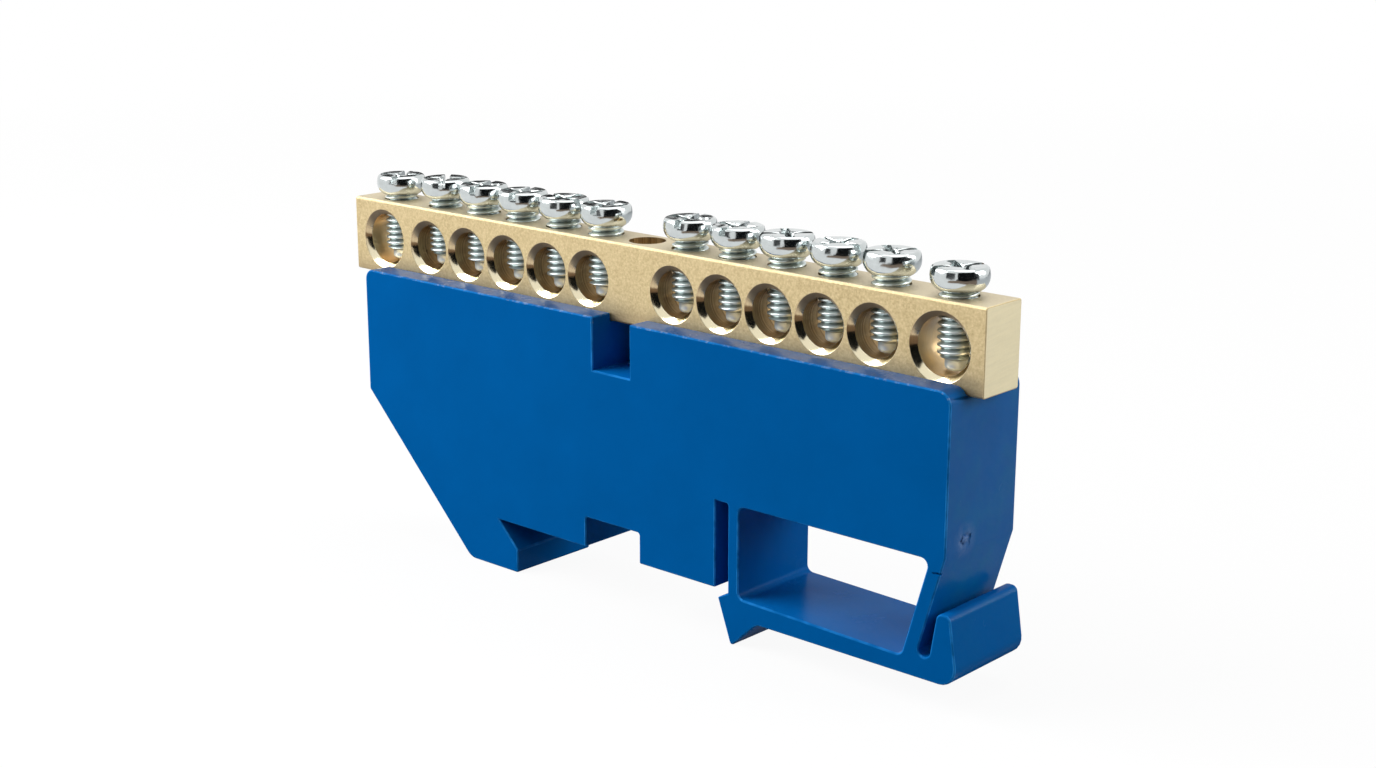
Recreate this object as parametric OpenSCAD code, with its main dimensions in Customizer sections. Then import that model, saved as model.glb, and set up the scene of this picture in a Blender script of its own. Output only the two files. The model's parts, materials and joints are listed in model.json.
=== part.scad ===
// Neutral terminal bar: a brass bar with clamp screws on a moulded insulator that snaps on a 35 mm rail.
// X runs along the bar, Y through its thickness and Z up from the insulator's two feet.

/* [Terminal bar] */
// Thickness of the brass bar, front to back
bar_w = 6; // [5:0.1:8]
// Radius along the bar's four long edges
bar_edge_r = 0.3; // [0.1:0.05:0.6]
// Length of bar past the axis of each end hole
end_margin = 5.2; // [4.2:0.1:8]
// Metal left under the two end wire holes
floor_t = 1.3; // [0.8:0.05:2.5]
// Metal left over the two end wire holes
roof_t = 1.7; // [1.1:0.05:3.5]

/* [Wire holes] */
// Bore of the inner wire holes
hole_d = 5.15; // [4.4:0.05:5.8]
// Bore of the two end wire holes
end_hole_d = 6; // [5.4:0.05:7.2]
// Distance from the middle of the bar to the first wire hole
hole_first = 6.3; // [5.6:0.05:9]
// Extra step from the last inner hole to the end hole
end_step_extra = 1.4; // [1:0.05:3]
// Radial width of the countersink round each wire hole
sink_w = 0.61; // [0.2:0.01:0.65]
// Included angle of the countersinks
sink_angle = 90; // [80:1:120]

/* [Clamp screws] */
// Thread diameter of all screws
thread_d = 4; // [3:0.1:4.6]
// Radial clearance of a screw in its tapped hole
thread_fit = 0.05; // [0.02:0.01:0.15]
// Length of a clamp screw under its head
screw_len = 7.85; // [7.6:0.05:10]
// Diameter of a clamp screw's head
head_d = 5.9; // [5.2:0.05:7.5]
// Height of a clamp screw's head
head_h = 2.55; // [2.5:0.05:3.4]
// Gap between neighbouring screw heads
head_gap = 0.8; // [0.5:0.05:3]
// Radius round the underside of the head
head_foot_r = 1.5; // [0.8:0.05:1.5]
// Radius round the top of the head
head_top_r = 0.4; // [0.2:0.05:0.4]
// Narrowing of the head's side towards its top, on the radius
head_taper = 0.17; // [0.05:0.01:0.25]
// Diameter of the plain tip
tip_d = 2.4; // [2:0.1:2.9]
// Length of the plain tip
tip_l = 1.1; // [0.8:0.1:2]
// Length of the cone between the tip and the thread
tip_cone = 0.4; // [0.2:0.05:0.8]
// Radius round the end of the tip
tip_r = 0.5; // [0.2:0.05:0.8]
// Gap left under a screw's tip as delivered
tip_gap = 0.25; // [0.25:0.05:2]
// Least gap left under a screw's head
head_rest_gap = 0.1; // [0.05:0.05:0.5]
// Width of the driver slot
slot_w = 0.8; // [0.5:0.05:1.2]
// Depth of the driver slot
slot_depth = 0.8; // [0.6:0.05:1.5]
// Width of the shorter cross wings
cross_w = 0.95; // [0.6:0.05:1.3]
// Span of the shorter cross wings
cross_span = 4.7; // [3:0.1:5]
// Depth of the cross recess at its middle
cross_depth = 1.6; // [1.2:0.05:1.9]
// Diameter of the cross recess's middle
cross_core_d = 2.2; // [1.6:0.1:2.8]

/* [Fixing screw] */
// Head diameter of the fixing screw under the bar
fix_head_d = 7.5; // [6.5:0.1:9]
// Distance from the fixing screw's end to the top of the bar
fix_short = 1.4; // [0.8:0.1:4]
// Radial clearance of the fixing screw in the insulator
fix_fit = 0.2; // [0.1:0.05:0.5]
// Width of the fixing screw's slot
fix_slot_w = 1.2; // [0.8:0.1:1.6]
// Depth of the fixing screw's slot
fix_slot_depth = 1; // [0.6:0.1:1.2]

/* [Insulator body] */
// Height from the rail seat to the underside of the bar
body_h = 25.95; // [22:0.05:35]
// Height of the lips that hold the bar's lower edge
lip_h = 1; // [0.5:0.1:2]
// Width of the ledge on each side of the bar
ledge_w = 3; // [2.6:0.1:5]
// Clearance of the bar in its channel, each side
bar_fit = 0.05; // [0.02:0.01:0.2]
// Length of bar past the insulator's hook end
hook_overhang = 5; // [2:0.1:8]
// Length of bar past the insulator's latch end
latch_overhang = 1.65; // [1.4:0.05:4]
// Radius of the top corner at the hook end
hook_corner_r = 1.2; // [0.3:0.1:3]
// Radius of the top corner at the latch end
latch_corner_r = 1.5; // [0.3:0.1:3]
// Width of the opening through the body under the middle of the bar
opening_w = 5.6; // [5:0.1:8]
// Height of the opening below the bar
opening_h = 5.05; // [2:0.05:9]

/* [Rail hook] */
// Width of the mounting rail
rail_w = 35; // [30:0.5:40]
// Thickness of the mounting rail
rail_t = 1; // [0.8:0.1:1.5]
// Reach of the hook and the latch tooth below the rail seat
hook_drop = 5.9; // [5:0.1:8]
// Length of the undercut under the rail's edge
hook_reach = 3.1; // [2:0.1:4]
// Width of the hook's foot
hook_foot_w = 8.2; // [5:0.1:12]
// Radius between the hook's foot and its slope
hook_foot_r = 2; // [0.5:0.1:3]
// Room beside the fixing screw's head in the underside recess
recess_side = 0.4; // [0.2:0.05:1.5]
// Height of the underside recess
recess_h = 3.56; // [2:0.02:6]

/* [Latch] */
// Overlap of the sprung strip on the rail's edge, which loads the latch
latch_bite = 0.45; // [0.2:0.05:0.8]
// Width of the slot beside the sprung strip
strip_gap = 1.8; // [1.2:0.1:2.5]
// Thickness of the sprung strip
strip_t = 1.45; // [1:0.05:2]
// Height of the latch window above the rail seat
latch_h = 9.8; // [8:0.1:13]
// Reach of the tooth past the strip
tooth_reach = 1.4; // [0.8:0.1:1.7]
// Rise of the tooth's wedge face towards the strip
tooth_rise = 0.75; // [0.4:0.05:0.9]
// Lean of the tooth's lead-in face
tooth_lean = 20; // [14:1:24]
// Slope of the tooth's back
tooth_back = 43; // [36:1:55]
// Radius of the tooth's lower end
tooth_r = 0.33; // [0.2:0.01:0.6]
// Distance from the rail seat to the underside of the latch
latch_drop = 2.82; // [2:0.02:3.4]
// Thickness of the latch's lower bar beside the tooth
loop_t = 2.35; // [1.6:0.05:3]
// Thickness of the latch's lower bar beside the strut
loop_t_end = 1.9; // [1.4:0.05:3]
// Thickness of the leaning strut
strut_t = 1.7; // [1.2:0.05:2.5]
// Lean of the strut
strut_lean = 16; // [8:1:20]
// Distance from the window's top up to the strut's outer bend
strut_bend = 0.55; // [0:0.05:3]
// Radius in the corners of the window
window_r = 0.8; // [0.3:0.1:1.5]
// Width of the release slot beside the strut, at its floor
lever_gap = 1.53; // [1.45:0.01:2.2]
// Thickness of the latch's lower bar under the release slot
lever_floor_t = 2.4; // [1.8:0.1:3]
// Height of the release lever above the latch's underside
lever_h = 7.35; // [5:0.05:9]
// Width of the release lever at its top
lever_t = 1.53; // [1.45:0.01:2.2]
// Lean of the release lever's two faces
lever_lean = 9; // [5:0.5:12]
// Radius under the release lever
lever_foot_r = 1.9; // [1:0.1:2.2]

/* [Hidden] */
$fn = 64;
inner_count = 5;
arc_steps = 6;
over = 1;
slot_turns = [122, 130, 110, 110, 168, 105, 103, 95, 47, 169, 53, 60];
lever_slot_r = 0.68;
recess_r = 0.35;
hook_edge_r = 0.3;
tooth_edge_r = 0.12;
tooth_root_r = 1.2;
strip_r = 0.3;
waist_share = 0.3;

// Heights
seat_z = hook_drop;
bar_z = seat_z + body_h;
lip_z = bar_z + lip_h;
bar_h = floor_t + end_hole_d + roof_t;
bar_top = bar_z + bar_h;
hole_z = floor_t + end_hole_d / 2;
recess_z = seat_z + recess_h;
latch_top = seat_z + latch_h;
under_z = seat_z - latch_drop;

// Places along the bar, from the hook end to the latch end
hole_pitch = head_d + head_gap;
half_xs = [for (i = [0 : inner_count]) hole_first + i * hole_pitch + (i == inner_count ? end_step_extra : 0)];
end_x = half_xs[inner_count];
screw_xs = concat([for (i = [inner_count : -1 : 0]) -half_xs[i]], half_xs);
bar_l = 2 * (end_x + end_margin);
hook_end = -bar_l / 2 + hook_overhang;
latch_end = bar_l / 2 - latch_overhang;
body_depth = bar_w + 2 * ledge_w;
recess_w = fix_head_d + 2 * recess_side;

// Screws
tap_d = thread_d + 2 * thread_fit;
fix_head_h = (fix_head_d - thread_d) / 2;
fix_len = bar_top - fix_short - recess_z;

// Bend in the side of a clamp screw's head, from which it narrows to the top
waist_run = (head_h - head_foot_r) * waist_share;
waist_z = head_foot_r + waist_run;
waist_lean = atan(head_taper / (head_h - waist_z));
waist_r = waist_run / tan(waist_lean / 2);

function screw_name(i) = str("clamp_screw_", i < 9 ? "0" : "", i + 1);
function bore_at(x) = abs(x) == end_x ? end_hole_d : hole_d;

// Height of a screw's head above the bar: its tip stands over the hole's floor, or its head on the bar
function head_lift(x) =
    max(head_rest_gap, hole_z - bore_at(x) / 2 + tip_gap + screw_len - bar_h);

function unit(v) = v / norm(v);

// Points of the arc that rounds corner b between its neighbours a and c
function corner_arc(a, b, c, r) =
    let (
        u = unit(a - b),
        v = unit(c - b),
        half = acos(u * v) / 2,
        centre = b + unit(u + v) * r / sin(half),
        p = b + u * r / tan(half) - centre,
        q = b + v * r / tan(half) - centre,
        start = atan2(p.y, p.x),
        sweep = (atan2(q.y, q.x) - start + 540) % 360 - 180
    )
    [for (i = [0 : arc_steps]) let (t = start + sweep * i / arc_steps) centre + r * [cos(t), sin(t)]];

// Closed outline through corners given as [x, y, radius]
function round_path(corners) =
    let (n = len(corners), at = [for (c = corners) [c.x, c.y]])
    [
        for (i = [0 : n - 1])
            each corners[i].z > 0
                ? corner_arc(at[(i + n - 1) % n], at[i], at[(i + 1) % n], corners[i].z)
                : [at[i]]
    ];

// Corner where two lines with outward normals m and n both touch a circle
function tangent_corner(centre, r, m, n) = centre + r * (m + n) / (1 + m * n);

// Side outline extruded through the insulator, centred on Y
module through(depth) {
    rotate([90, 0, 0])
        linear_extrude(depth, center = true)
            children();
}

// Insulator outline: body, rail hook, sprung strip with its tooth, lower bar and release lever
rail_edge_x = rail_w / 2;
undercut_x = -rail_edge_x - rail_t;
hook_x = undercut_x + hook_reach;
hook_heel_x = hook_x - hook_foot_w;
strip_x = rail_edge_x - latch_bite;
window_x = strip_x + strip_t;
bend_z = latch_top + strut_bend;

// Outer face of the strut at height z
function strut_x(z) = latch_end - max(0, bend_z - z) * tan(strut_lean);

tooth_tip = [strip_x - tooth_reach, seat_z - rail_t];
tooth_centre = [
    tooth_tip.x + (tooth_r + (tooth_tip.y - tooth_r) * sin(tooth_lean)) / cos(tooth_lean),
    tooth_r
];
back_normal = [sin(tooth_back), -cos(tooth_back)];
tooth_end = tangent_corner(tooth_centre, tooth_r, [-cos(tooth_lean), -sin(tooth_lean)], back_normal);
tooth_root_x = tooth_end.x + (under_z - tooth_end.y) / tan(tooth_back);

lever_slot_z = under_z + lever_floor_t;
lever_top = under_z + lever_h;
lever_in_x = strut_x(lever_slot_z) + lever_gap;
lever_top_in_x = lever_in_x + (lever_top - lever_slot_z) * tan(lever_lean);
lever_top_out_x = lever_top_in_x + lever_t;
lever_foot_x = lever_top_out_x + lever_h * tan(lever_lean);

module insulator_outline() {
    polygon(round_path([
        [hook_end, lip_z, hook_corner_r],
        [latch_end, lip_z, latch_corner_r],
        [latch_end, bend_z, 0],
        [strut_x(lever_slot_z), lever_slot_z, lever_slot_r],
        [lever_in_x, lever_slot_z, lever_slot_r],
        [lever_top_in_x, lever_top, lever_slot_r],
        [lever_top_out_x, lever_top, lever_slot_r],
        [lever_foot_x, under_z, lever_foot_r],
        [tooth_root_x, under_z, tooth_root_r],
        [tooth_end.x, tooth_end.y, tooth_r],
        [tooth_tip.x, tooth_tip.y, tooth_edge_r],
        [strip_x, tooth_tip.y + tooth_rise, 0],
        [strip_x, latch_top, strip_r],
        [strip_x - strip_gap, latch_top, 0],
        [strip_x - strip_gap, seat_z, 0],
        [recess_w / 2, seat_z, 0],
        [recess_w / 2, recess_z, recess_r],
        [-recess_w / 2, recess_z, recess_r],
        [-recess_w / 2, seat_z, 0],
        [undercut_x, seat_z, 0],
        [hook_x, seat_z - hook_reach, 0],
        [hook_x, 0, hook_edge_r],
        [hook_heel_x, 0, hook_foot_r],
        [hook_end, hook_heel_x - hook_end, 0]
    ]));
}

module window_outline() {
    polygon(round_path([
        [window_x, latch_top, window_r],
        [strut_x(latch_top) - strut_t, latch_top, window_r],
        [strut_x(under_z + loop_t_end) - strut_t, under_z + loop_t_end, window_r],
        [window_x, under_z + loop_t, window_r]
    ]));
}

// Opening under the bar from face to face, cut up through both lips
module middle_opening() {
    translate([-opening_w / 2, -body_depth / 2 - over, bar_z - opening_h])
        cube([opening_w, body_depth + 2 * over, opening_h + lip_h + over]);
}

module insulator() {
    channel_w = bar_w + 2 * bar_fit;
    color("#17609F")
        difference() {
            through(body_depth)
                difference() {
                    insulator_outline();
                    window_outline();
                }
            translate([hook_end - over, -channel_w / 2, bar_z])
                cube([latch_end - hook_end + 2 * over, channel_w, lip_h + over]);
            middle_opening();
            translate([0, 0, recess_z - over])
                cylinder(d = thread_d + 2 * fix_fit, h = bar_z - recess_z + 2 * over);
            translate([0, 0, recess_z])
                cylinder(d1 = fix_head_d + 2 * fix_fit, d2 = thread_d + 2 * fix_fit, h = fix_head_h);
        }
}

module wire_hole(bore) {
    sink_h = sink_w / tan(sink_angle / 2);
    rotate([90, 0, 0])
        cylinder(d = bore, h = bar_w + 2 * over, center = true);
    for (side = [90, -90])
        rotate([side, 0, 0])
            translate([0, 0, bar_w / 2 - sink_h])
                cylinder(d1 = bore, d2 = bore + 2 * sink_w, h = sink_h);
}

module terminal_bar() {
    color("#CDB27A")
        difference() {
            translate([-bar_l / 2, 0, bar_z])
                rotate([90, 0, 90])
                    linear_extrude(bar_l)
                        polygon(round_path([
                            [-bar_w / 2, 0, bar_edge_r],
                            [bar_w / 2, 0, bar_edge_r],
                            [bar_w / 2, bar_h, bar_edge_r],
                            [-bar_w / 2, bar_h, bar_edge_r]
                        ]));
            for (x = screw_xs)
                translate([x, 0, bar_z + hole_z]) {
                    wire_hole(bore_at(x));
                    cylinder(d = tap_d, h = bar_h);
                }
            translate([0, 0, bar_z - over])
                cylinder(d = tap_d, h = bar_h + 2 * over);
        }
}

// Countersunk screw from below, its head flush in the underside recess
module bar_fixing_screw() {
    chamfer = thread_d / 10;
    color("#C9CDCB")
        translate([0, 0, recess_z])
            difference() {
                rotate_extrude()
                    polygon([
                        [0, 0],
                        [fix_head_d / 2, 0],
                        [thread_d / 2, fix_head_h],
                        [thread_d / 2, fix_len - chamfer],
                        [thread_d / 2 - chamfer, fix_len],
                        [0, fix_len]
                    ]);
                translate([-fix_head_d, -fix_slot_w / 2, -over])
                    cube([2 * fix_head_d, fix_slot_w, fix_slot_depth + over]);
            }
}

// Turned profile of a clamp screw with the underside of its head at 0: the shank, then the head
module clamp_screw_profile() {
    polygon(round_path([
        [0, -screw_len, 0],
        [tip_d / 2, -screw_len, tip_r],
        [tip_d / 2, tip_l - screw_len, 0],
        [thread_d / 2, tip_l + tip_cone - screw_len, 0],
        [thread_d / 2, head_foot_r, 0],
        [0, head_foot_r, 0]
    ]));
    polygon(round_path([
        [0, 0, 0],
        [head_d / 2, 0, head_foot_r],
        [head_d / 2, waist_z, waist_r],
        [head_d / 2 - head_taper, head_h, head_top_r],
        [0, head_h, 0]
    ]));
}

// Slot right across the head, with a shorter cross and a conical middle
module driver_recess() {
    translate([-head_d, -slot_w / 2, head_h - slot_depth])
        cube([2 * head_d, slot_w, slot_depth + over]);
    translate([-cross_w / 2, -cross_span / 2, head_h - slot_depth])
        cube([cross_w, cross_span, slot_depth + over]);
    translate([0, 0, head_h - cross_depth])
        cylinder(d1 = slot_w, d2 = cross_core_d, h = cross_depth);
}

module clamp_screw(i) {
    x = screw_xs[i];
    color("#C9CDCB")
        translate([x, 0, bar_top + head_lift(x)])
            rotate([0, 0, slot_turns[i % len(slot_turns)]])
                difference() {
                    rotate_extrude()
                        clamp_screw_profile();
                    driver_recess();
                }
}

insulator();
terminal_bar();
bar_fixing_screw();
for (i = [0 : len(screw_xs) - 1])
    clamp_screw(i);
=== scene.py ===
"""Looks of a neutral terminal bar for a 35 mm rail, laid out as an add-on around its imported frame."""
import json
import math

import bmesh
import bpy
from bpy.props import FloatProperty, FloatVectorProperty, IntProperty, PointerProperty
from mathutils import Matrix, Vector, noise


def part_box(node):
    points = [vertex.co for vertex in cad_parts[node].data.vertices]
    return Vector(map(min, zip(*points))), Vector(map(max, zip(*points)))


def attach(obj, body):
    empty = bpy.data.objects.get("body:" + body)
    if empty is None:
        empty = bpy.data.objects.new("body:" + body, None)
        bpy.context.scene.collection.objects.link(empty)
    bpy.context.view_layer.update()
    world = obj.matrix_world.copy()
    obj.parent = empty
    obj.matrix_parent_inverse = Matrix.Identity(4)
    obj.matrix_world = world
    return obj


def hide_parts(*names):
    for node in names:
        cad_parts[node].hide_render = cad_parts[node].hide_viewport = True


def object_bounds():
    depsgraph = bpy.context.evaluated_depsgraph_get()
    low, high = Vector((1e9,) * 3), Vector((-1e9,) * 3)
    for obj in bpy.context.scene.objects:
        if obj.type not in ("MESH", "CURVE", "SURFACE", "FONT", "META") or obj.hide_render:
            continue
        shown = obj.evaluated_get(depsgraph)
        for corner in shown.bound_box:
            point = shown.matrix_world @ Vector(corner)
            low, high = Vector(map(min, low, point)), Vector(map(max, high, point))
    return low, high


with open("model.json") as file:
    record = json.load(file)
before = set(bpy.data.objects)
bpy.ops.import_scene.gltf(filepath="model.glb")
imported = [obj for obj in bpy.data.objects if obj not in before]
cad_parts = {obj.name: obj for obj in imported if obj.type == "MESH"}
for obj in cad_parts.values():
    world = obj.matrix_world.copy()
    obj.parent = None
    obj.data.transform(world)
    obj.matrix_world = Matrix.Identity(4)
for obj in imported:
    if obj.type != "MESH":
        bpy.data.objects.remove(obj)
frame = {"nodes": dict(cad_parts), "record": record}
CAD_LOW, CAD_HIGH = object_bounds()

bl_info = {
    "name": "Neutral terminal bar",
    "version": (1, 0, 0),
    "blender": (4, 5, 0),
    "location": "3D View > Sidebar > Neutral bar",
    "description": "Builds the blue insulator, the drilled brass bar and its zinc-plated screws",
    "category": "Object",
}

# Metres in a millimetre, the gap that counts as none and the bend that counts as flat
MM = 0.001
WELD_GAP = 1e-7
FLAT_ANGLE = math.radians(0.2)

# Finishes of the plastic and of the brass, in the order of their materials
TEXTURED, INNER, POLISHED = range(3)
DRAWN, SAWN, DRILLED, TURNED, REAMED = range(5)

# Plastic finishes: name, specular level, share of painted cloudy sheen, least and most roughness
PLASTIC_FINISHES = (
    ("textured_plastic", 0.006, 0.0, 0.48, 0.52),
    ("inner_plastic", 0.034, 0.22, 0.2, 0.3),
    ("polished_plastic", 0.13, 1.0, 0.18, 0.28),
)

# Rubbing and painted highlight of edges in general, painted highlight of the moulding's front edges that face
# the latch end, and rubbing of the holes' rims
EDGE_RUBBING_AND_HIGHLIGHT = 1.0
FRONT_HIGHLIGHT = 2.5
RIM_WEAR = 0.2

# Where the moulding's ends are polished: how far in from their faces, and from which height up
POLISHED_DEPTH = 3 * MM
POLISHED_FROM = 9 * MM

# How far from a wire hole's axis, in its radii, its bore, its countersink and its rim reach
BORE_REACH = 1.01
SINK_REACH = 1.3
RIM_REACH = 1.35

# How much larger than the smallest a reamed hole is, and how deep the bar's sides count as outer faces
REAMED_SHARE = 1.05
SIDE_DEPTH = 0.5 * MM

# Angles from which the moulding's edges, the bar's outer edges and the holes' rims are rounded
PLASTIC_ROUNDED = math.radians(35)
BAR_ROUNDED = math.radians(50)
RIM_ROUNDED = math.radians(20)

# Angles from which edges stay sharp in the shading
PLASTIC_SHARP = math.radians(34)
BAR_SHARP = math.radians(24)
CLAMP_SHARP = math.radians(72)
FIXING_SHARP = math.radians(32)

# Turn from one clamp screw's thread to the next, in radians
THREAD_TURN = 2.4

# Chips in the moulding's front edges: place and half sizes, in metres
NICKS = (
    ((44.0 * MM, -6.0 * MM, 14.5 * MM), (0.75 * MM, 0.3 * MM, 0.14 * MM)),
    ((33.6 * MM, -6.0 * MM, 5.25 * MM), (0.35 * MM, 0.3 * MM, 0.12 * MM)),
)

# Standing cards that the camera doesn't see: name, colour setting, span and heights.
# A span is in degrees from the front towards the latch end, and lengths are in metres.
CARD_DISTANCE = 0.7
CARDS = (
    ("dark_room", "card_colour", (30, 116), (0.0, 0.7)),
    ("grey_card", "grey_colour", (-16, 14), (0.0, 0.4)),
    ("dark_edge", "card_colour", (-140, -126), (0.0, 0.2)),
)

# Mats on the floor that only reflections see: name, colour setting, span, and nearest and farthest reach
MAT_HEIGHT = 0.05 * MM
MATS = (
    ("brown_mat", "mat_colour", (5, 104), (0.1, 0.3)),
    ("dark_ground", "card_colour", (24, 118), (0.3, 0.7)),
    ("grey_mat", "back_colour", (100, 215), (0.06, 0.7)),
    ("near_mat", "back_colour", (90, 270), (0.001, 0.06)),
    ("dark_strip", "card_colour", (-140, -126), (0.1, 0.7)),
)
SHEET_STEPS = 24

# Lamps: name, power setting, place and size, in metres
LAMPS = (
    ("key_lamp", "key_power", (-0.28, -0.22, 0.28), 0.36),
    ("top_lamp", "top_power", (0.05, 0.1, 0.6), 0.5),
    ("side_lamp", "side_power", (0.55, 0.35, 0.3), 0.4),
)


def srgb(red, green, blue):
    """A colour written as 0 to 255 on screen, in Blender's linear values."""
    def linear(value):
        share = value / 255
        return share / 12.92 if share <= 0.04045 else ((share + 0.055) / 1.055) ** 2.4
    return linear(red), linear(green), linear(blue)


def wire_holes():
    """Axis x, axis z and radius of each wire hole, from the record's mounts."""
    mounts = [m for m in frame["record"]["mounts"] if m["name"].startswith("wire_hole")]
    return [(m["pos_m"][0], m["pos_m"][2], m["dims"]["r_mm"] * MM) for m in mounts]


# Settings that a user would change


class InsulatorLook(bpy.types.PropertyGroup):
    """Moulded blue plastic."""
    colour: FloatVectorProperty(
        name="Colour", description="Blue of the moulding", subtype="COLOR",
        default=srgb(0, 101, 178), min=0, max=1)
    # Paler blue of rubbed edges and of the painted highlight along them, strongest on the front edges that
    # face the latch end
    edge_colour: FloatVectorProperty(
        name="Edge colour", description="Paler blue along rubbed edges", subtype="COLOR",
        default=srgb(45, 150, 235), min=0, max=1)
    dust_colour: FloatVectorProperty(
        name="Dust colour", description="Pale flecks on faces that look up", subtype="COLOR",
        default=srgb(170, 185, 205), min=0, max=1)
    edge_round: FloatProperty(
        name="Edge round", description="Width of the soft edge that the mould leaves",
        default=0.2 * MM, min=0, unit="LENGTH")
    ledge_height: FloatProperty(
        name="Ledge height", description="Height over which film, dust and chips show on the ledge",
        default=32 * MM, unit="LENGTH")
    gate_place: FloatVectorProperty(
        name="Gate mark", description="Where the sprue broke off, on the latch end's face",
        default=(44.78 * MM, -2.68 * MM, 17.35 * MM), subtype="TRANSLATION", unit="LENGTH")
    gate_size: FloatVectorProperty(
        name="Gate mark size", description="Half sizes of the pit that the sprue left",
        default=(0.2 * MM, 1.15 * MM, 0.78 * MM), unit="LENGTH")
    gate_stub: FloatVectorProperty(
        name="Gate stub size", description="Half sizes of the broken stub in the middle of the pit",
        default=(0.2 * MM, 0.55 * MM, 0.4 * MM), unit="LENGTH")
    gate_halo: FloatProperty(
        name="Gate mark halo", description="Radius of the pale, stressed plastic round the gate mark",
        default=2.1 * MM, min=0, unit="LENGTH")
    # Painted sheen: a greyer blue mixed into the polished and inner walls in cloudy patches
    sheen_colour: FloatVectorProperty(
        name="Sheen colour", description="Greyer blue in the cloudy sheen of the polished walls",
        subtype="COLOR", default=srgb(14, 114, 168), min=0, max=1)
    # Painted grey shade and sheen on the ledge under the bar
    shade_colour: FloatVectorProperty(
        name="Ledge film", description="Grey film on the ledge under the bar", subtype="COLOR",
        default=srgb(58, 72, 100), min=0, max=1)


class BarLook(bpy.types.PropertyGroup):
    """Drawn, sawn and drilled brass."""
    colour: FloatVectorProperty(
        name="Brass", description="Brass of the drawn faces", subtype="COLOR",
        default=srgb(217, 199, 157), min=0, max=1)
    dark_colour: FloatVectorProperty(
        name="Dark brass", description="Dull brass in the grain", subtype="COLOR",
        default=srgb(160, 138, 96), min=0, max=1)
    # Painted greyer sheen and shade on the bar's top
    top_sheen_colour: FloatVectorProperty(
        name="Top brass", description="Greyer brass of the bar's top", subtype="COLOR",
        default=srgb(206, 196, 172), min=0, max=1)
    # Also used as a painted highlight low in the countersinks
    cut_and_highlight_colour: FloatVectorProperty(
        name="Cut brass", description="Fresh brass of the sawn ends", subtype="COLOR",
        default=srgb(231, 221, 189), min=0, max=1)
    # Darker, browner brass inside the holes: partly painted shade of the bores
    bore_shade_colour: FloatVectorProperty(
        name="Bore brass", description="Brass inside the drilled holes", subtype="COLOR",
        default=srgb(214, 184, 134), min=0, max=1)
    # Dark drill rings, deepened with painted shade
    bore_dark: FloatVectorProperty(
        name="Bore rings", description="Dark rings inside the drilled holes", subtype="COLOR",
        default=srgb(106, 80, 48), min=0, max=1)
    sink_colour: FloatVectorProperty(
        name="Countersinks", description="Brass of the turned countersinks", subtype="COLOR",
        default=srgb(208, 186, 148), min=0, max=1)
    # Painted shade on the countersinks' upper sides
    sink_shade_colour: FloatVectorProperty(
        name="Shaded countersinks", description="Dull brass at the countersinks' upper sides",
        subtype="COLOR", default=srgb(150, 130, 102), min=0, max=1)
    reamed_dark: FloatVectorProperty(
        name="Reamed rings", description="Faint rings inside the two larger end holes", subtype="COLOR",
        default=srgb(210, 184, 144), min=0, max=1)
    # Darker streaks towards the bottom of the bar's sides
    foot_colour: FloatVectorProperty(
        name="Foot", description="Dull streaks along the foot of the bar's sides", subtype="COLOR",
        default=srgb(150, 132, 104), min=0, max=1)
    edge_round: FloatProperty(
        name="Edge round", description="Width of the deburred edges",
        default=0.12 * MM, min=0, unit="LENGTH")
    rim_round: FloatProperty(
        name="Rim round", description="Width of the burnished rims round the wire holes",
        default=0.04 * MM, min=0, unit="LENGTH")
    ring_pitch: FloatProperty(
        name="Drill rings", description="Spacing of the rings that the drill leaves",
        default=0.3 * MM, min=0.01 * MM, unit="LENGTH")
    foot_height: FloatProperty(
        name="Foot height", description="Height at which the dull foot of the bar begins",
        default=31.9 * MM, unit="LENGTH")
    rim_depth: FloatProperty(
        name="Rim depth", description="How far in from the bar's faces the holes' rims lie",
        default=0.7 * MM, min=0, unit="LENGTH")


class ScrewLook(bpy.types.PropertyGroup):
    """Zinc-plated screws with an M4 thread."""
    colour: FloatVectorProperty(
        name="Zinc", description="Bright zinc plating of the threaded shanks", subtype="COLOR",
        default=srgb(206, 216, 214), min=0, max=1)
    head_colour: FloatVectorProperty(
        name="Head zinc", description="Greyer zinc plating of the heads", subtype="COLOR",
        default=srgb(208, 214, 214), min=0, max=1)
    # Painted pale highlight on the tips, which are also less metallic
    tip_highlight_colour: FloatVectorProperty(
        name="Tip zinc", description="Pale, rubbed plating of the tips", subtype="COLOR",
        default=srgb(226, 244, 255), min=0, max=1)
    # Painted shade down in the thread
    groove_shade_colour: FloatVectorProperty(
        name="Groove", description="Plating down in the thread", subtype="COLOR",
        default=srgb(110, 124, 124), min=0, max=1)
    thread_radius: FloatProperty(
        name="Thread radius", description="Radius over the thread's crests",
        default=2 * MM, unit="LENGTH")
    thread_pitch: FloatProperty(
        name="Thread pitch", description="Rise of the thread in one turn",
        default=0.7 * MM, unit="LENGTH")
    thread_depth: FloatProperty(
        name="Thread depth", description="Depth of the thread's groove",
        default=0.42 * MM, unit="LENGTH")
    crest_width: FloatProperty(
        name="Crest width", description="Flat left on the thread's crest",
        default=0.1 * MM, unit="LENGTH")
    head_length: FloatProperty(
        name="Head length", description="From a clamp screw's top down to its thread",
        default=2.2 * MM, unit="LENGTH")
    tip_length: FloatProperty(
        name="Tip length", description="Plain tip under a clamp screw's thread",
        default=1.2 * MM, unit="LENGTH")
    fixing_end: FloatProperty(
        name="Fixing screw end", description="Plain end over the fixing screw's thread",
        default=0.23 * MM, unit="LENGTH")
    fixing_reach: FloatProperty(
        name="Fixing screw reach", description="From the fixing screw's top down to the end of its thread",
        default=9 * MM, unit="LENGTH")
    turn_steps: IntProperty(
        name="Steps in a turn", description="Straight pieces in one turn of the thread",
        default=40, min=12, max=96)


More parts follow.
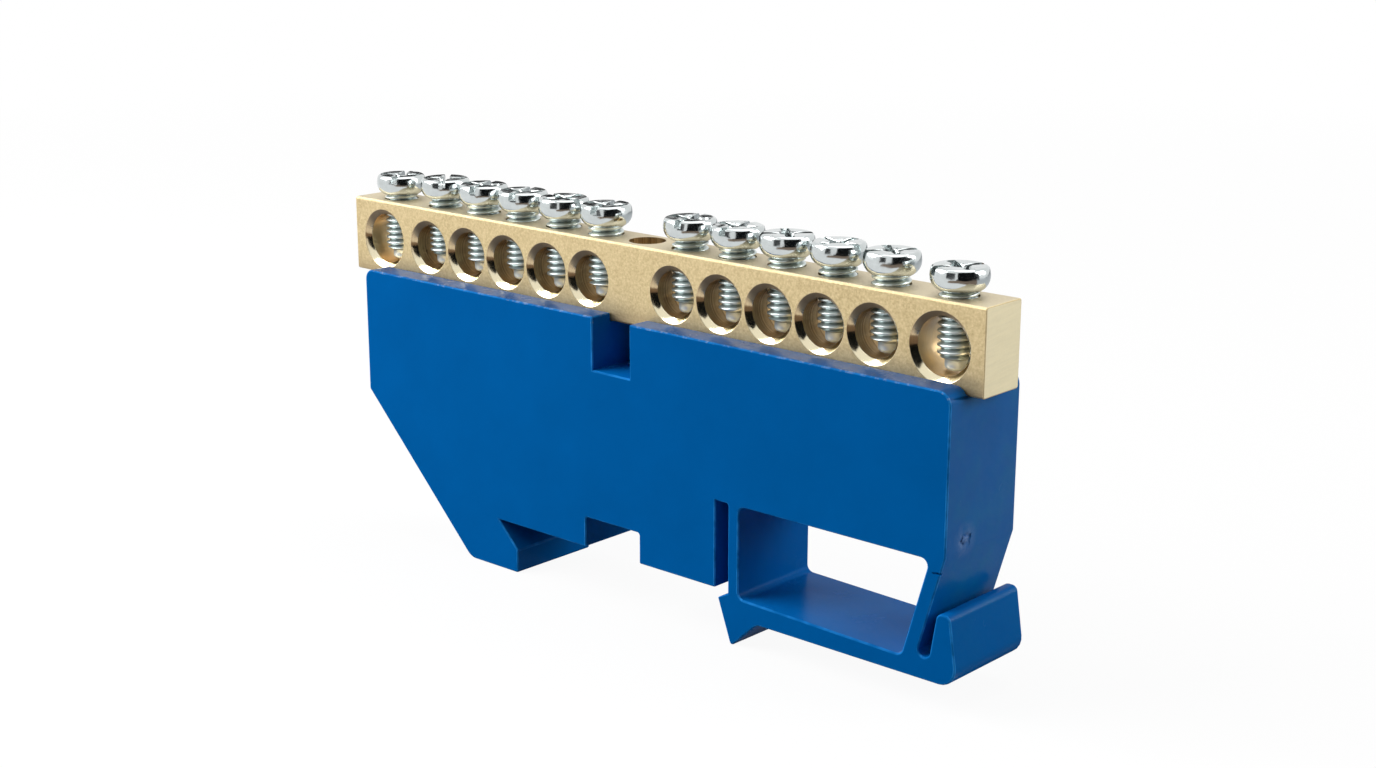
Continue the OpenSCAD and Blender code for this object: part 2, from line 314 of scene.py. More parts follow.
class StageLook(bpy.types.PropertyGroup):
    """Floor, hidden cards, light and camera."""
    camera_place: FloatVectorProperty(
        name="Camera", description="Where the camera stands",
        default=(0.15039, -0.16126, 0.08315), subtype="TRANSLATION", unit="LENGTH")
    camera_turn: FloatVectorProperty(
        name="Camera turn", description="Tilt, roll and heading of the camera",
        default=(math.radians(75.12), math.radians(-0.11), math.radians(41.87)), subtype="EULER")
    lens: FloatProperty(
        name="Lens", description="Focal length on a 36 mm wide frame, in millimetres",
        default=53.4, min=1, unit="CAMERA")
    floor_colour: FloatVectorProperty(
        name="Floor", description="Colour of the floor", subtype="COLOR",
        default=(0.92, 0.92, 0.92), min=0, max=1)
    floor_bounce: FloatVectorProperty(
        name="Floor bounce", description="Colour of the floor in the light that it throws on the object",
        default=(0.26, 0.26, 0.26), subtype="COLOR", min=0, max=1)
    floor_glow: FloatProperty(
        name="Floor glow", description="Share of plain white in what is seen of the floor near the object",
        default=0.94, min=0, max=1, subtype="FACTOR")
    white_reach: FloatProperty(
        name="White from", description="Distance from which the floor shows as plain white",
        default=0.5, min=0.1, unit="LENGTH")
    back_colour: FloatVectorProperty(
        name="Grey mat", description="Colour of the mat behind the object, seen in reflections only",
        default=(0.6, 0.62, 0.64), subtype="COLOR", min=0, max=1)
    card_colour: FloatVectorProperty(
        name="Dark cards", description="Colour of the cards that only reflections and bounced light see",
        default=(0.012, 0.014, 0.016), subtype="COLOR", min=0, max=1)
    grey_colour: FloatVectorProperty(
        name="Grey card", description="Colour of the card straight in front, seen in reflections only",
        default=(0.16, 0.165, 0.17), subtype="COLOR", min=0, max=1)
    mat_colour: FloatVectorProperty(
        name="Brown mat", description="Colour of the mat at the front right, seen in reflections only",
        default=(0.24, 0.18, 0.14), subtype="COLOR", min=0, max=1)
    sky_level: FloatProperty(
        name="Soft light", description="Light from all round", default=0.035, min=0)
    key_power: FloatProperty(
        name="Key light", description="Power of the large lamp at the front left",
        default=2.75, min=0, unit="POWER")
    top_power: FloatProperty(
        name="Top light", description="Power of the lamp overhead", default=1.4, min=0, unit="POWER")
    side_power: FloatProperty(
        name="Side light", description="Power of the lamp at the right back",
        default=2.4, min=0, unit="POWER")


class NeutralBarSettings(bpy.types.PropertyGroup):
    """All settings of the neutral bar."""
    insulator: PointerProperty(type=InsulatorLook)
    bar: PointerProperty(type=BarLook)
    screws: PointerProperty(type=ScrewLook)
    stage: PointerProperty(type=StageLook)


# Shader nodes, and the groups that more than one material uses


def feed(tree, socket, value):
    """Links an output to an input, or sets a plain value on it."""
    if isinstance(value, bpy.types.NodeSocket):
        tree.links.new(value, socket)
    else:
        socket.default_value = value


def add_node(tree, kind, values=(), **settings):
    """A new shader node with these settings, its inputs fed by socket name or number."""
    made = tree.nodes.new(kind)
    for key, value in settings.items():
        setattr(made, key, value)
    for key, value in dict(values).items():
        feed(tree, made.inputs[key], value)
    return made


def shader_group(name, inputs, output):
    """An empty shader group with these sockets, what it is given and where its result goes."""
    tree = bpy.data.node_groups.new(name, "ShaderNodeTree")
    for label, kind, value in inputs:
        socket = tree.interface.new_socket(label, in_out="INPUT", socket_type=kind)
        socket.default_value = value
    tree.interface.new_socket(output, in_out="OUTPUT", socket_type="NodeSocketFloat")
    given, result = tree.nodes.new("NodeGroupInput"), tree.nodes.new("NodeGroupOutput")
    return tree, given.outputs, result.inputs[output]


def millimetre_place(tree):
    """The piece's own coordinates in millimetres."""
    place = add_node(tree, "ShaderNodeTexCoord").outputs["Object"]
    scaled = add_node(tree, "ShaderNodeVectorMath", {0: place, "Scale": 1 / MM}, operation="SCALE")
    return scaled.outputs[0]


def sized_noise(tree, place, size, values):
    """Noise over a place in millimetres, in lumps of the size that a socket gives."""
    rate = add_node(tree, "ShaderNodeMath", {0: 1.0, 1: size}, operation="DIVIDE").outputs[0]
    return add_node(tree, "ShaderNodeTexNoise", {"Vector": place, "Scale": rate, **values}).outputs["Fac"]


def grain_group():
    """Soft random grain of a given size, which can be stretched and turned."""
    tree, given, result = shader_group(
        "Grain",
        [("Size", "NodeSocketFloat", 1.0), ("Stretch", "NodeSocketVector", (1, 1, 1)),
         ("Turn", "NodeSocketVector", (0, 0, 0)), ("Low", "NodeSocketFloat", 0.0),
         ("High", "NodeSocketFloat", 1.0), ("Detail", "NodeSocketFloat", 4.0)],
        "Value")
    turned = add_node(
        tree, "ShaderNodeMapping",
        {"Vector": millimetre_place(tree), "Scale": given["Stretch"], "Rotation": given["Turn"]},
        vector_type="TEXTURE")
    cloud = sized_noise(
        tree, turned.outputs["Vector"], given["Size"], {"Detail": given["Detail"], "Roughness": 0.62})
    spread = add_node(
        tree, "ShaderNodeMapRange",
        {"Value": cloud, "From Min": 0.28, "From Max": 0.72, "To Min": given["Low"], "To Max": given["High"]},
        clamp=False)
    feed(tree, result, spread.outputs["Result"])
    return tree


def fleck_group():
    """Small separate flecks; a larger amount covers more of the surface."""
    tree, given, result = shader_group(
        "Flecks", [("Size", "NodeSocketFloat", 1.0), ("Amount", "NodeSocketFloat", 0.1)], "Mask")
    full = 0.8
    cloud = sized_noise(tree, millimetre_place(tree), given["Size"], {"Detail": 3.0, "Roughness": 0.7})
    least = add_node(tree, "ShaderNodeMath", {0: full, 1: given["Amount"]}, operation="SUBTRACT")
    cut = add_node(
        tree, "ShaderNodeMapRange", {"Value": cloud, "From Min": least.outputs[0], "From Max": full})
    feed(tree, result, cut.outputs["Result"])
    return tree


def ring_group():
    """Uneven rings across the depth of a hole drilled along Y."""
    tree, given, result = shader_group("Drill rings", [("Pitch", "NodeSocketFloat", 0.2)], "Value")
    depth = add_node(tree, "ShaderNodeSeparateXYZ", {0: millimetre_place(tree)}).outputs["Y"]
    turns = add_node(tree, "ShaderNodeMath", {0: depth, 1: given["Pitch"]}, operation="DIVIDE")
    rings = add_node(
        tree, "ShaderNodeTexNoise",
        {"W": turns.outputs[0], "Scale": 1.0, "Detail": 3.0, "Roughness": 0.7}, noise_dimensions="1D")
    spread = add_node(
        tree, "ShaderNodeMapRange", {"Value": rings.outputs["Fac"], "From Min": 0.25, "From Max": 0.75})
    feed(tree, result, spread.outputs["Result"])
    return tree


def edge_rubbing_highlight_group():
    """Rubbed places and painted highlights along the edges that the mesh marks."""
    tree, given, result = shader_group(
        "Worn edges", [("Size", "NodeSocketFloat", 1.0), ("Least", "NodeSocketFloat", 0.3)], "Mask")
    mark = add_node(tree, "ShaderNodeAttribute", attribute_name="worn_edge").outputs["Fac"]
    cloud = sized_noise(tree, millimetre_place(tree), given["Size"], {"Detail": 2.0})
    spread = add_node(
        tree, "ShaderNodeMapRange",
        {"Value": cloud, "From Min": 0.35, "From Max": 0.65, "To Min": given["Least"], "To Max": 1.0})
    both = add_node(tree, "ShaderNodeMath", {0: mark, 1: spread.outputs["Result"]}, operation="MULTIPLY")
    feed(tree, result, both.outputs[0])
    return tree


GROUP_MAKERS = {"Grain": grain_group, "Flecks": fleck_group, "Drill rings": ring_group,
                "Worn edges": edge_rubbing_highlight_group}


# Materials


class Surface:
    """A material under construction: its tree, its shader and the few steps that build it."""

    def __init__(self, name):
        self.material = bpy.data.materials.new(name)
        self.material.use_nodes = True
        self.tree = self.material.node_tree
        self.shader = self.tree.nodes["Principled BSDF"]

    def group(self, name, **values):
        """A shared group's output, with these values."""
        shared = bpy.data.node_groups.get(name) or GROUP_MAKERS[name]()
        return add_node(self.tree, "ShaderNodeGroup", values, node_tree=shared).outputs[0]

    def attribute(self, name):
        """A number that the mesh stores under this name."""
        return add_node(self.tree, "ShaderNodeAttribute", attribute_name=name).outputs["Fac"]

    def mix(self, share, first, second):
        """A colour between two others, each a socket or a plain colour."""
        blend = add_node(self.tree, "ShaderNodeMix", {"Factor": share}, data_type="RGBA")
        colour_inputs = [s for s in blend.inputs if s.type == "RGBA"]
        for socket, value in zip(colour_inputs, (first, second)):
            feed(self.tree, socket, value if isinstance(value, bpy.types.NodeSocket) else (*value, 1))
        return next(s for s in blend.outputs if s.type == "RGBA")

    def ramp(self, value, low, high, first=0.0, last=1.0):
        """Goes from first to last, each a socket or a number, as a value goes from low to high."""
        scale = add_node(
            self.tree, "ShaderNodeMapRange",
            {"Value": value, "From Min": low, "From Max": high, "To Min": first, "To Max": last})
        return scale.outputs["Result"]

    def blend(self, share, first, second):
        """A number between two others, each a socket or a plain number."""
        return self.ramp(share, 0.0, 1.0, first, second)

    def times(self, product, *others):
        """The product of a socket and other sockets or numbers."""
        for value in others:
            step = add_node(self.tree, "ShaderNodeMath", {0: product, 1: value}, operation="MULTIPLY")
            product = step.outputs[0]
        return product

    def bump(self, height, depth, below=None):
        """The normal after a height of the given depth in metres, over an earlier bump."""
        bumped = add_node(
            self.tree, "ShaderNodeBump", {"Strength": 1.0, "Distance": depth, "Height": height})
        if below:
            feed(self.tree, bumped.inputs["Normal"], below)
        return bumped.outputs["Normal"]

    def own_place(self):
        """The piece's own coordinates, in metres."""
        return add_node(self.tree, "ShaderNodeTexCoord").outputs["Object"]

    def upward(self, vector):
        """How far a vector goes up."""
        return add_node(self.tree, "ShaderNodeSeparateXYZ", {0: vector}).outputs["Z"]

    def near(self, place, radius):
        """One at a place of the piece, fading to zero at the radius."""
        gap = add_node(
            self.tree, "ShaderNodeVectorMath", {0: self.own_place(), 1: place}, operation="DISTANCE")
        return self.ramp(gap.outputs["Value"], 0.0, radius, 1.0, 0.0)

    def rise(self, low, high):
        """Zero below a height of the piece, climbing to one at a second height."""
        return self.ramp(self.upward(self.own_place()), low, high)

    def facing_up(self, least=0.7, most=0.95):
        """Zero on faces that look up no more than the least, climbing to one at the most."""
        facing = add_node(self.tree, "ShaderNodeNewGeometry").outputs["Normal"]
        return self.ramp(self.upward(facing), least, most)

    def finish(self, **values):
        """Feeds the shader's inputs, named with _ for each space, and gives the material."""
        for key, value in values.items():
            feed(self.tree, self.shader.inputs[key.replace("_", " ")], value)
        return self.material


def blue_plastic(look, name, gloss, haze, smooth, dull):
    """Moulded plastic of a given finish, with a painted cloudy sheen, rubbed edges with a painted highlight,
    and painted shade and dust on its ledge.
    """
    surface = Surface(name)
    deep = [0.9 * c for c in look.colour]
    colour = surface.mix(surface.group("Grain", Size=9.0), deep, look.colour)
    # Painted cloudy sheen on the polished and inner walls
    if haze:
        cloud = surface.group("Grain", Size=6.0, Low=-0.3 * haze, High=0.7 * haze)
        colour = surface.mix(cloud, colour, look.sheen_colour)
    # Paler blue along the edges: rubbing and painted highlight
    edge_shares = surface.group("Worn edges", Size=1.6, Least=0.25)
    colour = surface.mix(surface.times(edge_shares, 0.5), colour, look.edge_colour)
    ledge = surface.rise(look.ledge_height, look.ledge_height + 0.1 * MM)
    ledge_top = surface.times(ledge, surface.facing_up())
    # Painted grey shade and sheen on the ledge's top under the bar
    shade = surface.times(ledge_top, surface.group("Grain", Size=3.0, Low=0.35, High=0.75))
    colour = surface.mix(shade, colour, look.shade_colour)
    chips = surface.group("Flecks", Size=0.6, Amount=0.28)
    chips = surface.times(chips, surface.attribute("worn_edge"), ledge, 0.8)
    colour = surface.mix(chips, colour, look.dust_colour)
    dust = surface.times(surface.group("Flecks", Size=0.3, Amount=0.16), ledge_top, 0.6)
    colour = surface.mix(dust, colour, look.dust_colour)
    halo = surface.near(look.gate_place, look.gate_halo)
    halo = surface.times(halo, surface.group("Grain", Size=0.9), 0.4)
    colour = surface.mix(halo, colour, look.dust_colour)
    roughness = surface.group("Grain", Size=5.0, Low=smooth, High=dull)
    normal = surface.bump(surface.group("Grain", Size=3.0), 0.02 * MM)
    normal = surface.bump(surface.group("Grain", Size=0.12), 0.002 * MM, normal)
    return surface.finish(Base_Color=colour, Roughness=roughness, Normal=normal, Specular_IOR_Level=gloss)


def drawn_brass(look):
    """Dull drawn faces with a fine sandy grain and a streaked foot."""
    surface = Surface("drawn_brass")
    sand = surface.group("Grain", Size=0.24, Low=0.15, High=0.95)
    colour = surface.mix(sand, look.dark_colour, look.colour)
    colour = surface.mix(surface.group("Grain", Size=6.0, Low=0.0, High=0.35), colour, look.colour)
    # Darker streaks towards the bottom of the bar's sides
    streaks = surface.group("Grain", Size=0.35, Stretch=(25, 1, 1), Low=0.25, High=0.95)
    streaks = surface.blend(surface.rise(look.foot_height, look.foot_height + 2.4 * MM), streaks, 0.0)
    colour = surface.mix(streaks, colour, look.foot_colour)
    # Painted greyer sheen and shade on faces that look up
    colour = surface.mix(surface.times(surface.facing_up(), 0.7), colour, look.top_sheen_colour)
    edge_shares = surface.group("Worn edges", Size=1.5, Least=0.5)
    colour = surface.mix(surface.times(edge_shares, 0.3), colour, look.cut_and_highlight_colour)
    roughness = surface.blend(edge_shares, surface.group("Grain", Size=0.3, Low=0.42, High=0.56), 0.75)
    normal = surface.bump(surface.group("Grain", Size=0.2), 0.012 * MM)
    normal = surface.bump(surface.group("Grain", Size=0.3, Stretch=(30, 1, 1)), 0.004 * MM, normal)
    return surface.finish(Base_Color=colour, Roughness=roughness, Normal=normal, Metallic=1.0)


def sawn_brass(look):
    """Fresh sawn ends with faint lines."""
    surface = Surface("sawn_brass")
    lines = surface.group("Grain", Size=0.3, Stretch=(1, 12, 1), Turn=(math.radians(5), 0, 0))
    tone = [0.93 * c for c in look.cut_and_highlight_colour]
    colour = surface.mix(lines, tone, look.cut_and_highlight_colour)
    roughness = surface.group("Grain", Size=0.3, Low=0.55, High=0.65)
    normal = surface.bump(lines, 0.002 * MM)
    return surface.finish(Base_Color=colour, Roughness=roughness, Normal=normal, Metallic=1.0)


def drilled_brass(look, name, dark, depth):
    """Bores with the rings that a drill leaves, of a given tone and depth, in brass darkened with painted
    shade.
    """
    surface = Surface(name)
    rings = surface.group("Drill rings", Pitch=look.ring_pitch / MM)
    colour = surface.mix(rings, dark, look.bore_shade_colour)
    roughness = surface.group("Grain", Size=0.5, Low=0.28, High=0.42)
    normal = surface.bump(rings, depth)
    return surface.finish(Base_Color=colour, Roughness=roughness, Normal=normal, Metallic=1.0)


def turned_brass(look):
    """Countersinks with fine tool marks, with a painted highlight below and painted shade above."""
    surface = Surface("turned_brass")
    rings = surface.group("Drill rings", Pitch=0.5 * look.ring_pitch / MM)
    tone = [0.85 * c for c in look.sink_colour]
    colour = surface.mix(rings, tone, look.sink_colour)
    # Painted shade on the upper sides and painted highlight on the lower sides
    bright = surface.facing_up(-0.5, -0.15)
    colour = surface.mix(bright, look.sink_shade_colour, colour)
    colour = surface.mix(surface.facing_up(0.0, 0.4), colour, look.cut_and_highlight_colour)
    roughness = surface.blend(bright, 0.5, surface.group("Grain", Size=0.4, Low=0.1, High=0.18))
    normal = surface.bump(rings, 0.001 * MM)
    metallic = surface.blend(bright, 0.15, 1.0)
    return surface.finish(Base_Color=colour, Roughness=roughness, Normal=normal, Metallic=metallic)


def zinc_plate(look):
    """Bright zinc with a faint haze, painted shade down in the thread, and a dull tip with a painted pale
    highlight.
    """
    surface = Surface("zinc_plate")
    shank, tip = surface.attribute("shank"), surface.attribute("tip")
    haze = [0.9 * c for c in look.head_colour]
    colour = surface.mix(surface.group("Grain", Size=0.8), haze, look.head_colour)
    colour = surface.mix(shank, colour, look.colour)
    # Painted shade deepening towards the thread's roots
    colour = surface.mix(surface.times(surface.attribute("groove"), 0.7), colour, look.groove_shade_colour)
    # Painted pale highlight on the tip
    colour = surface.mix(tip, colour, look.tip_highlight_colour)
    roughness = surface.blend(shank, surface.group("Grain", Size=0.6, Low=0.1, High=0.18), 0.3)
    normal = surface.bump(surface.group("Grain", Size=1.8, Detail=1.0), 0.06 * MM)
    metallic = surface.blend(tip, surface.blend(shank, 1.0, 0.8), 0.35)
    return surface.finish(Base_Color=colour, Roughness=roughness, Normal=normal, Metallic=metallic)


# Mesh steps


def add_object(name, data):
    """A new object in the scene."""
    made = bpy.data.objects.new(name, data)
    bpy.context.scene.collection.objects.link(made)
    return made


def mesh_object(name, shape):
    """A new object from a mesh under construction, which is used up."""
    mesh = bpy.data.meshes.new(name)
    shape.to_mesh(mesh)
    shape.free()
    return add_object(name, mesh)


def welded_copy(node):
    """A welded copy of a node's mesh, with its flat triangles joined into whole faces."""
    shape = bmesh.new()
    shape.from_mesh(frame["nodes"][node].data)
    bmesh.ops.remove_doubles(shape, verts=shape.verts, dist=WELD_GAP)
    bmesh.ops.dissolve_limit(shape, angle_limit=FLAT_ANGLE, verts=shape.verts, edges=shape.edges)
    return shape


def soften_edges(shape, width, edge_strength, chosen):
    """Rounds the chosen edges and marks the new faces with the given strength of rubbing and painted
    highlight.
    """
    mark = shape.faces.layers.float.get("worn_edge") or shape.faces.layers.float.new("worn_edge")
    edges = [e for e in shape.edges if chosen(e)]
    made = bmesh.ops.bevel(shape, geom=edges, offset=width, offset_type="OFFSET", segments=3,
                           profile=0.5, affect="EDGES", clamp_overlap=False)
    for face in made["faces"]:
        face[mark] = edge_strength


def refill_flat(shape, level, outward):
    """Fills a flat side across Y anew inside its rims, where rounding left folded slivers."""
    old = {f for f in shape.faces if all(abs(v.co.y - level) < WELD_GAP for v in f.verts)}
    rims, inner = [], []
    for edge in {e for f in old for e in f.edges}:
        (inner if all(f in old for f in edge.link_faces) else rims).append(edge)
    bmesh.ops.delete(shape, geom=list(old), context="FACES_ONLY")
    bmesh.ops.delete(shape, geom=inner, context="EDGES")
    made = bmesh.ops.triangle_fill(shape, use_beauty=True, edges=rims, normal=(0, outward, 0))
    for face in made["geom"]:
        if isinstance(face, bmesh.types.BMFace) and face.normal.y * outward < 0:
            face.normal_flip()
    seams = [e for e in made["geom"] if isinstance(e, bmesh.types.BMEdge)]
    bmesh.ops.dissolve_limit(shape, angle_limit=FLAT_ANGLE, edges=seams)


def convex_angle(edge):
    """The angle at an outward edge, or zero at an inward or open one."""
    return max(edge.calc_face_angle_signed(0.0), 0.0) if edge.is_manifold else 0.0


def new_piece(name, shape, sharp_angle):
    """A new object from a finished mesh, smooth but for its sharp edges."""
    piece = mesh_object(name, shape)
    mesh = piece.data
    for attribute in ("custom_normal", "sharp_face", "sharp_edge"):
        if attribute in mesh.attributes:
            mesh.attributes.remove(mesh.attributes[attribute])
    mesh.shade_smooth()
    mesh.set_sharp_from_angle(angle=sharp_angle)
    even = piece.modifiers.new("Even normals", "WEIGHTED_NORMAL")
    even.keep_sharp = True
    return piece


def cut_shape(shape, cutter, operation):
    """The mesh after a cutter was taken from it or joined to it; both are used up."""
    holders = [mesh_object("cutting", part) for part in (shape, cutter)]
    step = holders[0].modifiers.new("Cut", "BOOLEAN")
    step.object = holders[1]
    step.operation = operation
    step.solver = "EXACT"
    depsgraph = bpy.context.evaluated_depsgraph_get()
    made = bpy.data.meshes.new_from_object(holders[0].evaluated_get(depsgraph))
    result = bmesh.new()
    result.from_mesh(made)
    spent = [made, *(holder.data for holder in holders)]
    for holder in holders:
        bpy.data.objects.remove(holder)
    for mesh in spent:
        bpy.data.meshes.remove(mesh)
    return result


def lump(centre, half_sizes, roughness, seed):
    """A closed uneven blob, for a torn or chipped place."""
    shape = bmesh.new()
    bmesh.ops.create_icosphere(shape, subdivisions=3, radius=1.0)
    for vert in shape.verts:
        swell = 1 + roughness * noise.noise(2.1 * vert.co + Vector((seed, 0, 0)))
        vert.co = Vector(centre) + Vector(a * b * swell for a, b in zip(vert.co, half_sizes))
    return shape


def helix_sweep(axis_x, top, bottom, section, look, phase, fade):
    """A section of radius and height points swept down a helix; it thins out over a share of a turn."""
    shape = bmesh.new()
    steps = round((top - bottom) / look.thread_pitch * look.turn_steps)
    outer = max(radius for radius, _ in section)
    rings = []
    for step in range(steps + 1):
        angle = phase - 2 * math.pi * step / look.turn_steps
        share = min(1.0, min(step, steps - step) / (fade * look.turn_steps) + 0.02)
        height = top - step * look.thread_pitch / look.turn_steps
        ring = []
        for radius, rise in section:
            reach = outer + (radius - outer) * share
            ring.append(shape.verts.new((axis_x + reach * math.cos(angle), reach * math.sin(angle),
                                         height + rise * (0.3 + 0.7 * share))))
        rings.append(ring)
    count = len(section)
    for first, second in zip(rings, rings[1:]):
        for side in range(count):
            after = (side + 1) % count
            shape.faces.new((first[side], first[after], second[after], second[side]))
    shape.faces.new(rings[0])
    shape.faces.new(rings[-1])
    bmesh.ops.recalc_face_normals(shape, faces=shape.faces)
    return shape


def groove_section(look):
    """The thread groove's rounded section, wide outside and narrow at its root."""
    outside = look.thread_radius * 1.1
    wide = (look.thread_pitch - look.crest_width) / 2
    half_steps = 4
    curve = []
    for step in range(2 * half_steps + 1):
        rise = wide * (1 - step / half_steps)
        sink = look.thread_depth * (1 + math.cos(math.pi * rise / wide)) / 2
        curve.append((look.thread_radius - sink, rise))
    return [(outside, wide), *curve, (outside, -wide)]


def mark_grooves(shape, axis_x, look, top, bottom):
    """Marks the shank below a height, its tip below another and, between, the depth in the thread."""
    groove = shape.verts.layers.float.new("groove")
    shank = shape.verts.layers.float.new("shank")
    tip = shape.verts.layers.float.new("tip")
    for vert in shape.verts:
        depth = look.thread_radius - math.hypot(vert.co.x - axis_x, vert.co.y)
        vert[shank] = float(depth > -WELD_GAP and vert.co.z < top)
        vert[tip] = float(vert[shank] and vert.co.z < bottom)
        threaded = vert[shank] and not vert[tip]
        vert[groove] = min(max(depth / look.thread_depth, 0.0), 1.0) ** 3 if threaded else 0.0


def threaded_copy(node, look, top, bottom, phase):
    """A node's mesh with the thread cut and marked between two heights."""
    low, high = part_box(node)
    axis_x = (low.x + high.x) / 2
    groove = helix_sweep(axis_x, top, bottom, groove_section(look), look, phase, fade=0.25)
    shape = cut_shape(welded_copy(node), groove, "DIFFERENCE")
    mark_grooves(shape, axis_x, look, top, bottom)
    return shape


def place_piece(piece, body, node, slot, *materials):
    """Gives a piece its materials and its body, and hides the node it stands for; the slot is not used."""
    for material in materials:
        piece.data.materials.append(material)
    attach(piece, body)
    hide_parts(node)


# Operators


class BuildInsulator(bpy.types.Operator):
    """Builds the blue moulding with its soft edges and gate mark"""
    bl_idname = "neutral_bar.build_insulator"
    bl_label = "Build insulator"

    def execute(self, context):
        look = context.scene.neutral_bar.insulator
        low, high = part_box("insulator")
        shape = welded_copy("insulator")
        soften_edges(shape, look.edge_round, EDGE_RUBBING_AND_HIGHLIGHT, lambda e: convex_angle(e) > PLASTIC_ROUNDED)
        refill_flat(shape, low.y, -1)
        refill_flat(shape, high.y, 1)
        edge_shares = shape.faces.layers.float["worn_edge"]
        # Painted highlight, stronger on the front edges that face the latch end
        for face in shape.faces:
            if face[edge_shares] and face.normal.x > 0.25 and face.normal.y < -0.25:
                face[edge_shares] = FRONT_HIGHLIGHT
        shape = self.with_marks(shape, look)
        for face in shape.faces:
            face.material_index = self.finish_of(face, high)
        piece = new_piece("blue_insulator", shape, PLASTIC_SHARP)
        plastics = [blue_plastic(look, *finish) for finish in PLASTIC_FINISHES]
        place_piece(piece, "base", "insulator", "blue_insulator", *plastics)
        return {"FINISHED"}

    @staticmethod
    def with_marks(shape, look):
        """The moulding with its gate mark and chips; the mesh given is used up."""
        shape = cut_shape(shape, lump(look.gate_place, look.gate_size, roughness=0.35, seed=3), "DIFFERENCE")
        stub_place = Vector(look.gate_place) - Vector((0.8 * look.gate_stub[0], 0, 0))
        shape = cut_shape(shape, lump(stub_place, look.gate_stub, roughness=0.6, seed=7), "UNION")
        for seed, (place, size) in enumerate(NICKS):
            shape = cut_shape(shape, lump(place, size, roughness=0.5, seed=seed), "DIFFERENCE")
        return shape

    @staticmethod
    def finish_of(face, high):
        """Which finish a face has: textured, as the inner walls and shelves, or polished as the ends."""
        facing, middle = face.normal, face.calc_center_median()
        if abs(facing.y) > 0.5 or facing.z < -0.3:
            return TEXTURED
        at_end = abs(middle.x) > high.x - POLISHED_DEPTH and middle.z > POLISHED_FROM
        return POLISHED if at_end and facing.z < 0.7 else INNER


class BuildBar(bpy.types.Operator):
    """Builds the brass bar with its drawn, sawn, drilled and turned faces"""
    bl_idname = "neutral_bar.build_bar"
    bl_label = "Build brass bar"

    def execute(self, context):
        look = context.scene.neutral_bar.bar
        low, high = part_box("terminal_bar")
        holes = wire_holes()
        shape = welded_copy("terminal_bar")

        def outer_edge(edge):
            middle = (edge.verts[0].co + edge.verts[1].co) / 2
            at_end = min(abs(middle.x - low.x), abs(middle.x - high.x)) < WELD_GAP
            return at_end and convex_angle(edge) > BAR_ROUNDED

        def hole_rim(edge):
            middle = (edge.verts[0].co + edge.verts[1].co) / 2
            if min(middle.y - low.y, high.y - middle.y) > look.rim_depth:
                return False
            at_hole = any(math.hypot(middle.x - x, middle.z - z) < RIM_REACH * r for x, z, r in holes)
            return at_hole and convex_angle(edge) >= RIM_ROUNDED

        soften_edges(shape, look.rim_round, RIM_WEAR, hole_rim)
        soften_edges(shape, look.edge_round, EDGE_RUBBING_AND_HIGHLIGHT, outer_edge)
        edge_shares = shape.faces.layers.float["worn_edge"]
        for face in shape.faces:
            face.material_index = self.finish_of(face, holes, low, high)
            along = abs(face.normal.x) < 0.1 and 0.2 < face.normal.z < 0.97
            if along and face.calc_center_median().z > high.z - look.rim_depth:
                face[edge_shares] = EDGE_RUBBING_AND_HIGHLIGHT
        piece = new_piece("brass_bar", shape, BAR_SHARP)
        place_piece(piece, "base", "terminal_bar", "brass", drawn_brass(look), sawn_brass(look),
                    drilled_brass(look, "drilled_brass", look.bore_dark, 0.03 * MM), turned_brass(look),
                    drilled_brass(look, "reamed_brass", look.reamed_dark, 0.01 * MM))
        return {"FINISHED"}

    @staticmethod
    def finish_of(face, holes, low, high):
        """Which finish a face has: drawn, sawn, drilled, turned, or reamed as the larger holes are."""
        middle, facing = face.calc_center_median(), face.normal
        if abs(facing.x) > 0.99 and min(middle.x - low.x, high.x - middle.x) < 0.01 * MM:
            return SAWN
        axis_x, axis_z, radius = min(holes, key=lambda hole: abs(hole[0] - middle.x))
        reach = math.hypot(middle.x - axis_x, middle.z - axis_z)
        if abs(facing.y) < 0.2 and reach < BORE_REACH * radius:
            return REAMED if radius > REAMED_SHARE * min(hole[2] for hole in holes) else DRILLED
        if 0.2 < abs(facing.y) < 0.95 and reach < SINK_REACH * radius:
            return TURNED
        inside = low.y + SIDE_DEPTH < middle.y < high.y - SIDE_DEPTH
        return DRILLED if inside and abs(facing.z) < 0.2 else DRAWN


class BuildClampScrews(bpy.types.Operator):
    """Builds the twelve clamp screws with their cut threads"""
    bl_idname = "neutral_bar.build_clamp_screws"
    bl_label = "Build clamp screws"

    def execute(self, context):
        look = context.scene.neutral_bar.screws
        finish = zinc_plate(look)
        names = sorted(n for n in frame["nodes"] if n.startswith("clamp_screw"))
        for count, node in enumerate(names):
            low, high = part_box(node)
            top, bottom = high.z - look.head_length, low.z + look.tip_length
            shape = threaded_copy(node, look, top, bottom, THREAD_TURN * count)
            piece = new_piece("zinc_" + node, shape, CLAMP_SHARP)
            place_piece(piece, node, node, "zinc_steel", finish)
        return {"FINISHED"}


class BuildFixingScrew(bpy.types.Operator):
    """Builds the screw that holds the bar from below, after the clamp screws"""
    bl_idname = "neutral_bar.build_fixing_screw"
    bl_label = "Build fixing screw"

    def execute(self, context):
        look = context.scene.neutral_bar.screws
        node = "bar_fixing_screw"
        _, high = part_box(node)
        shape = threaded_copy(node, look, high.z - look.fixing_end, high.z - look.fixing_reach, 0.0)
        piece = new_piece("zinc_fixing_screw", shape, FIXING_SHARP)
        place_piece(piece, "base", node, "zinc_steel", bpy.data.materials["zinc_plate"])
        return {"FINISHED"}


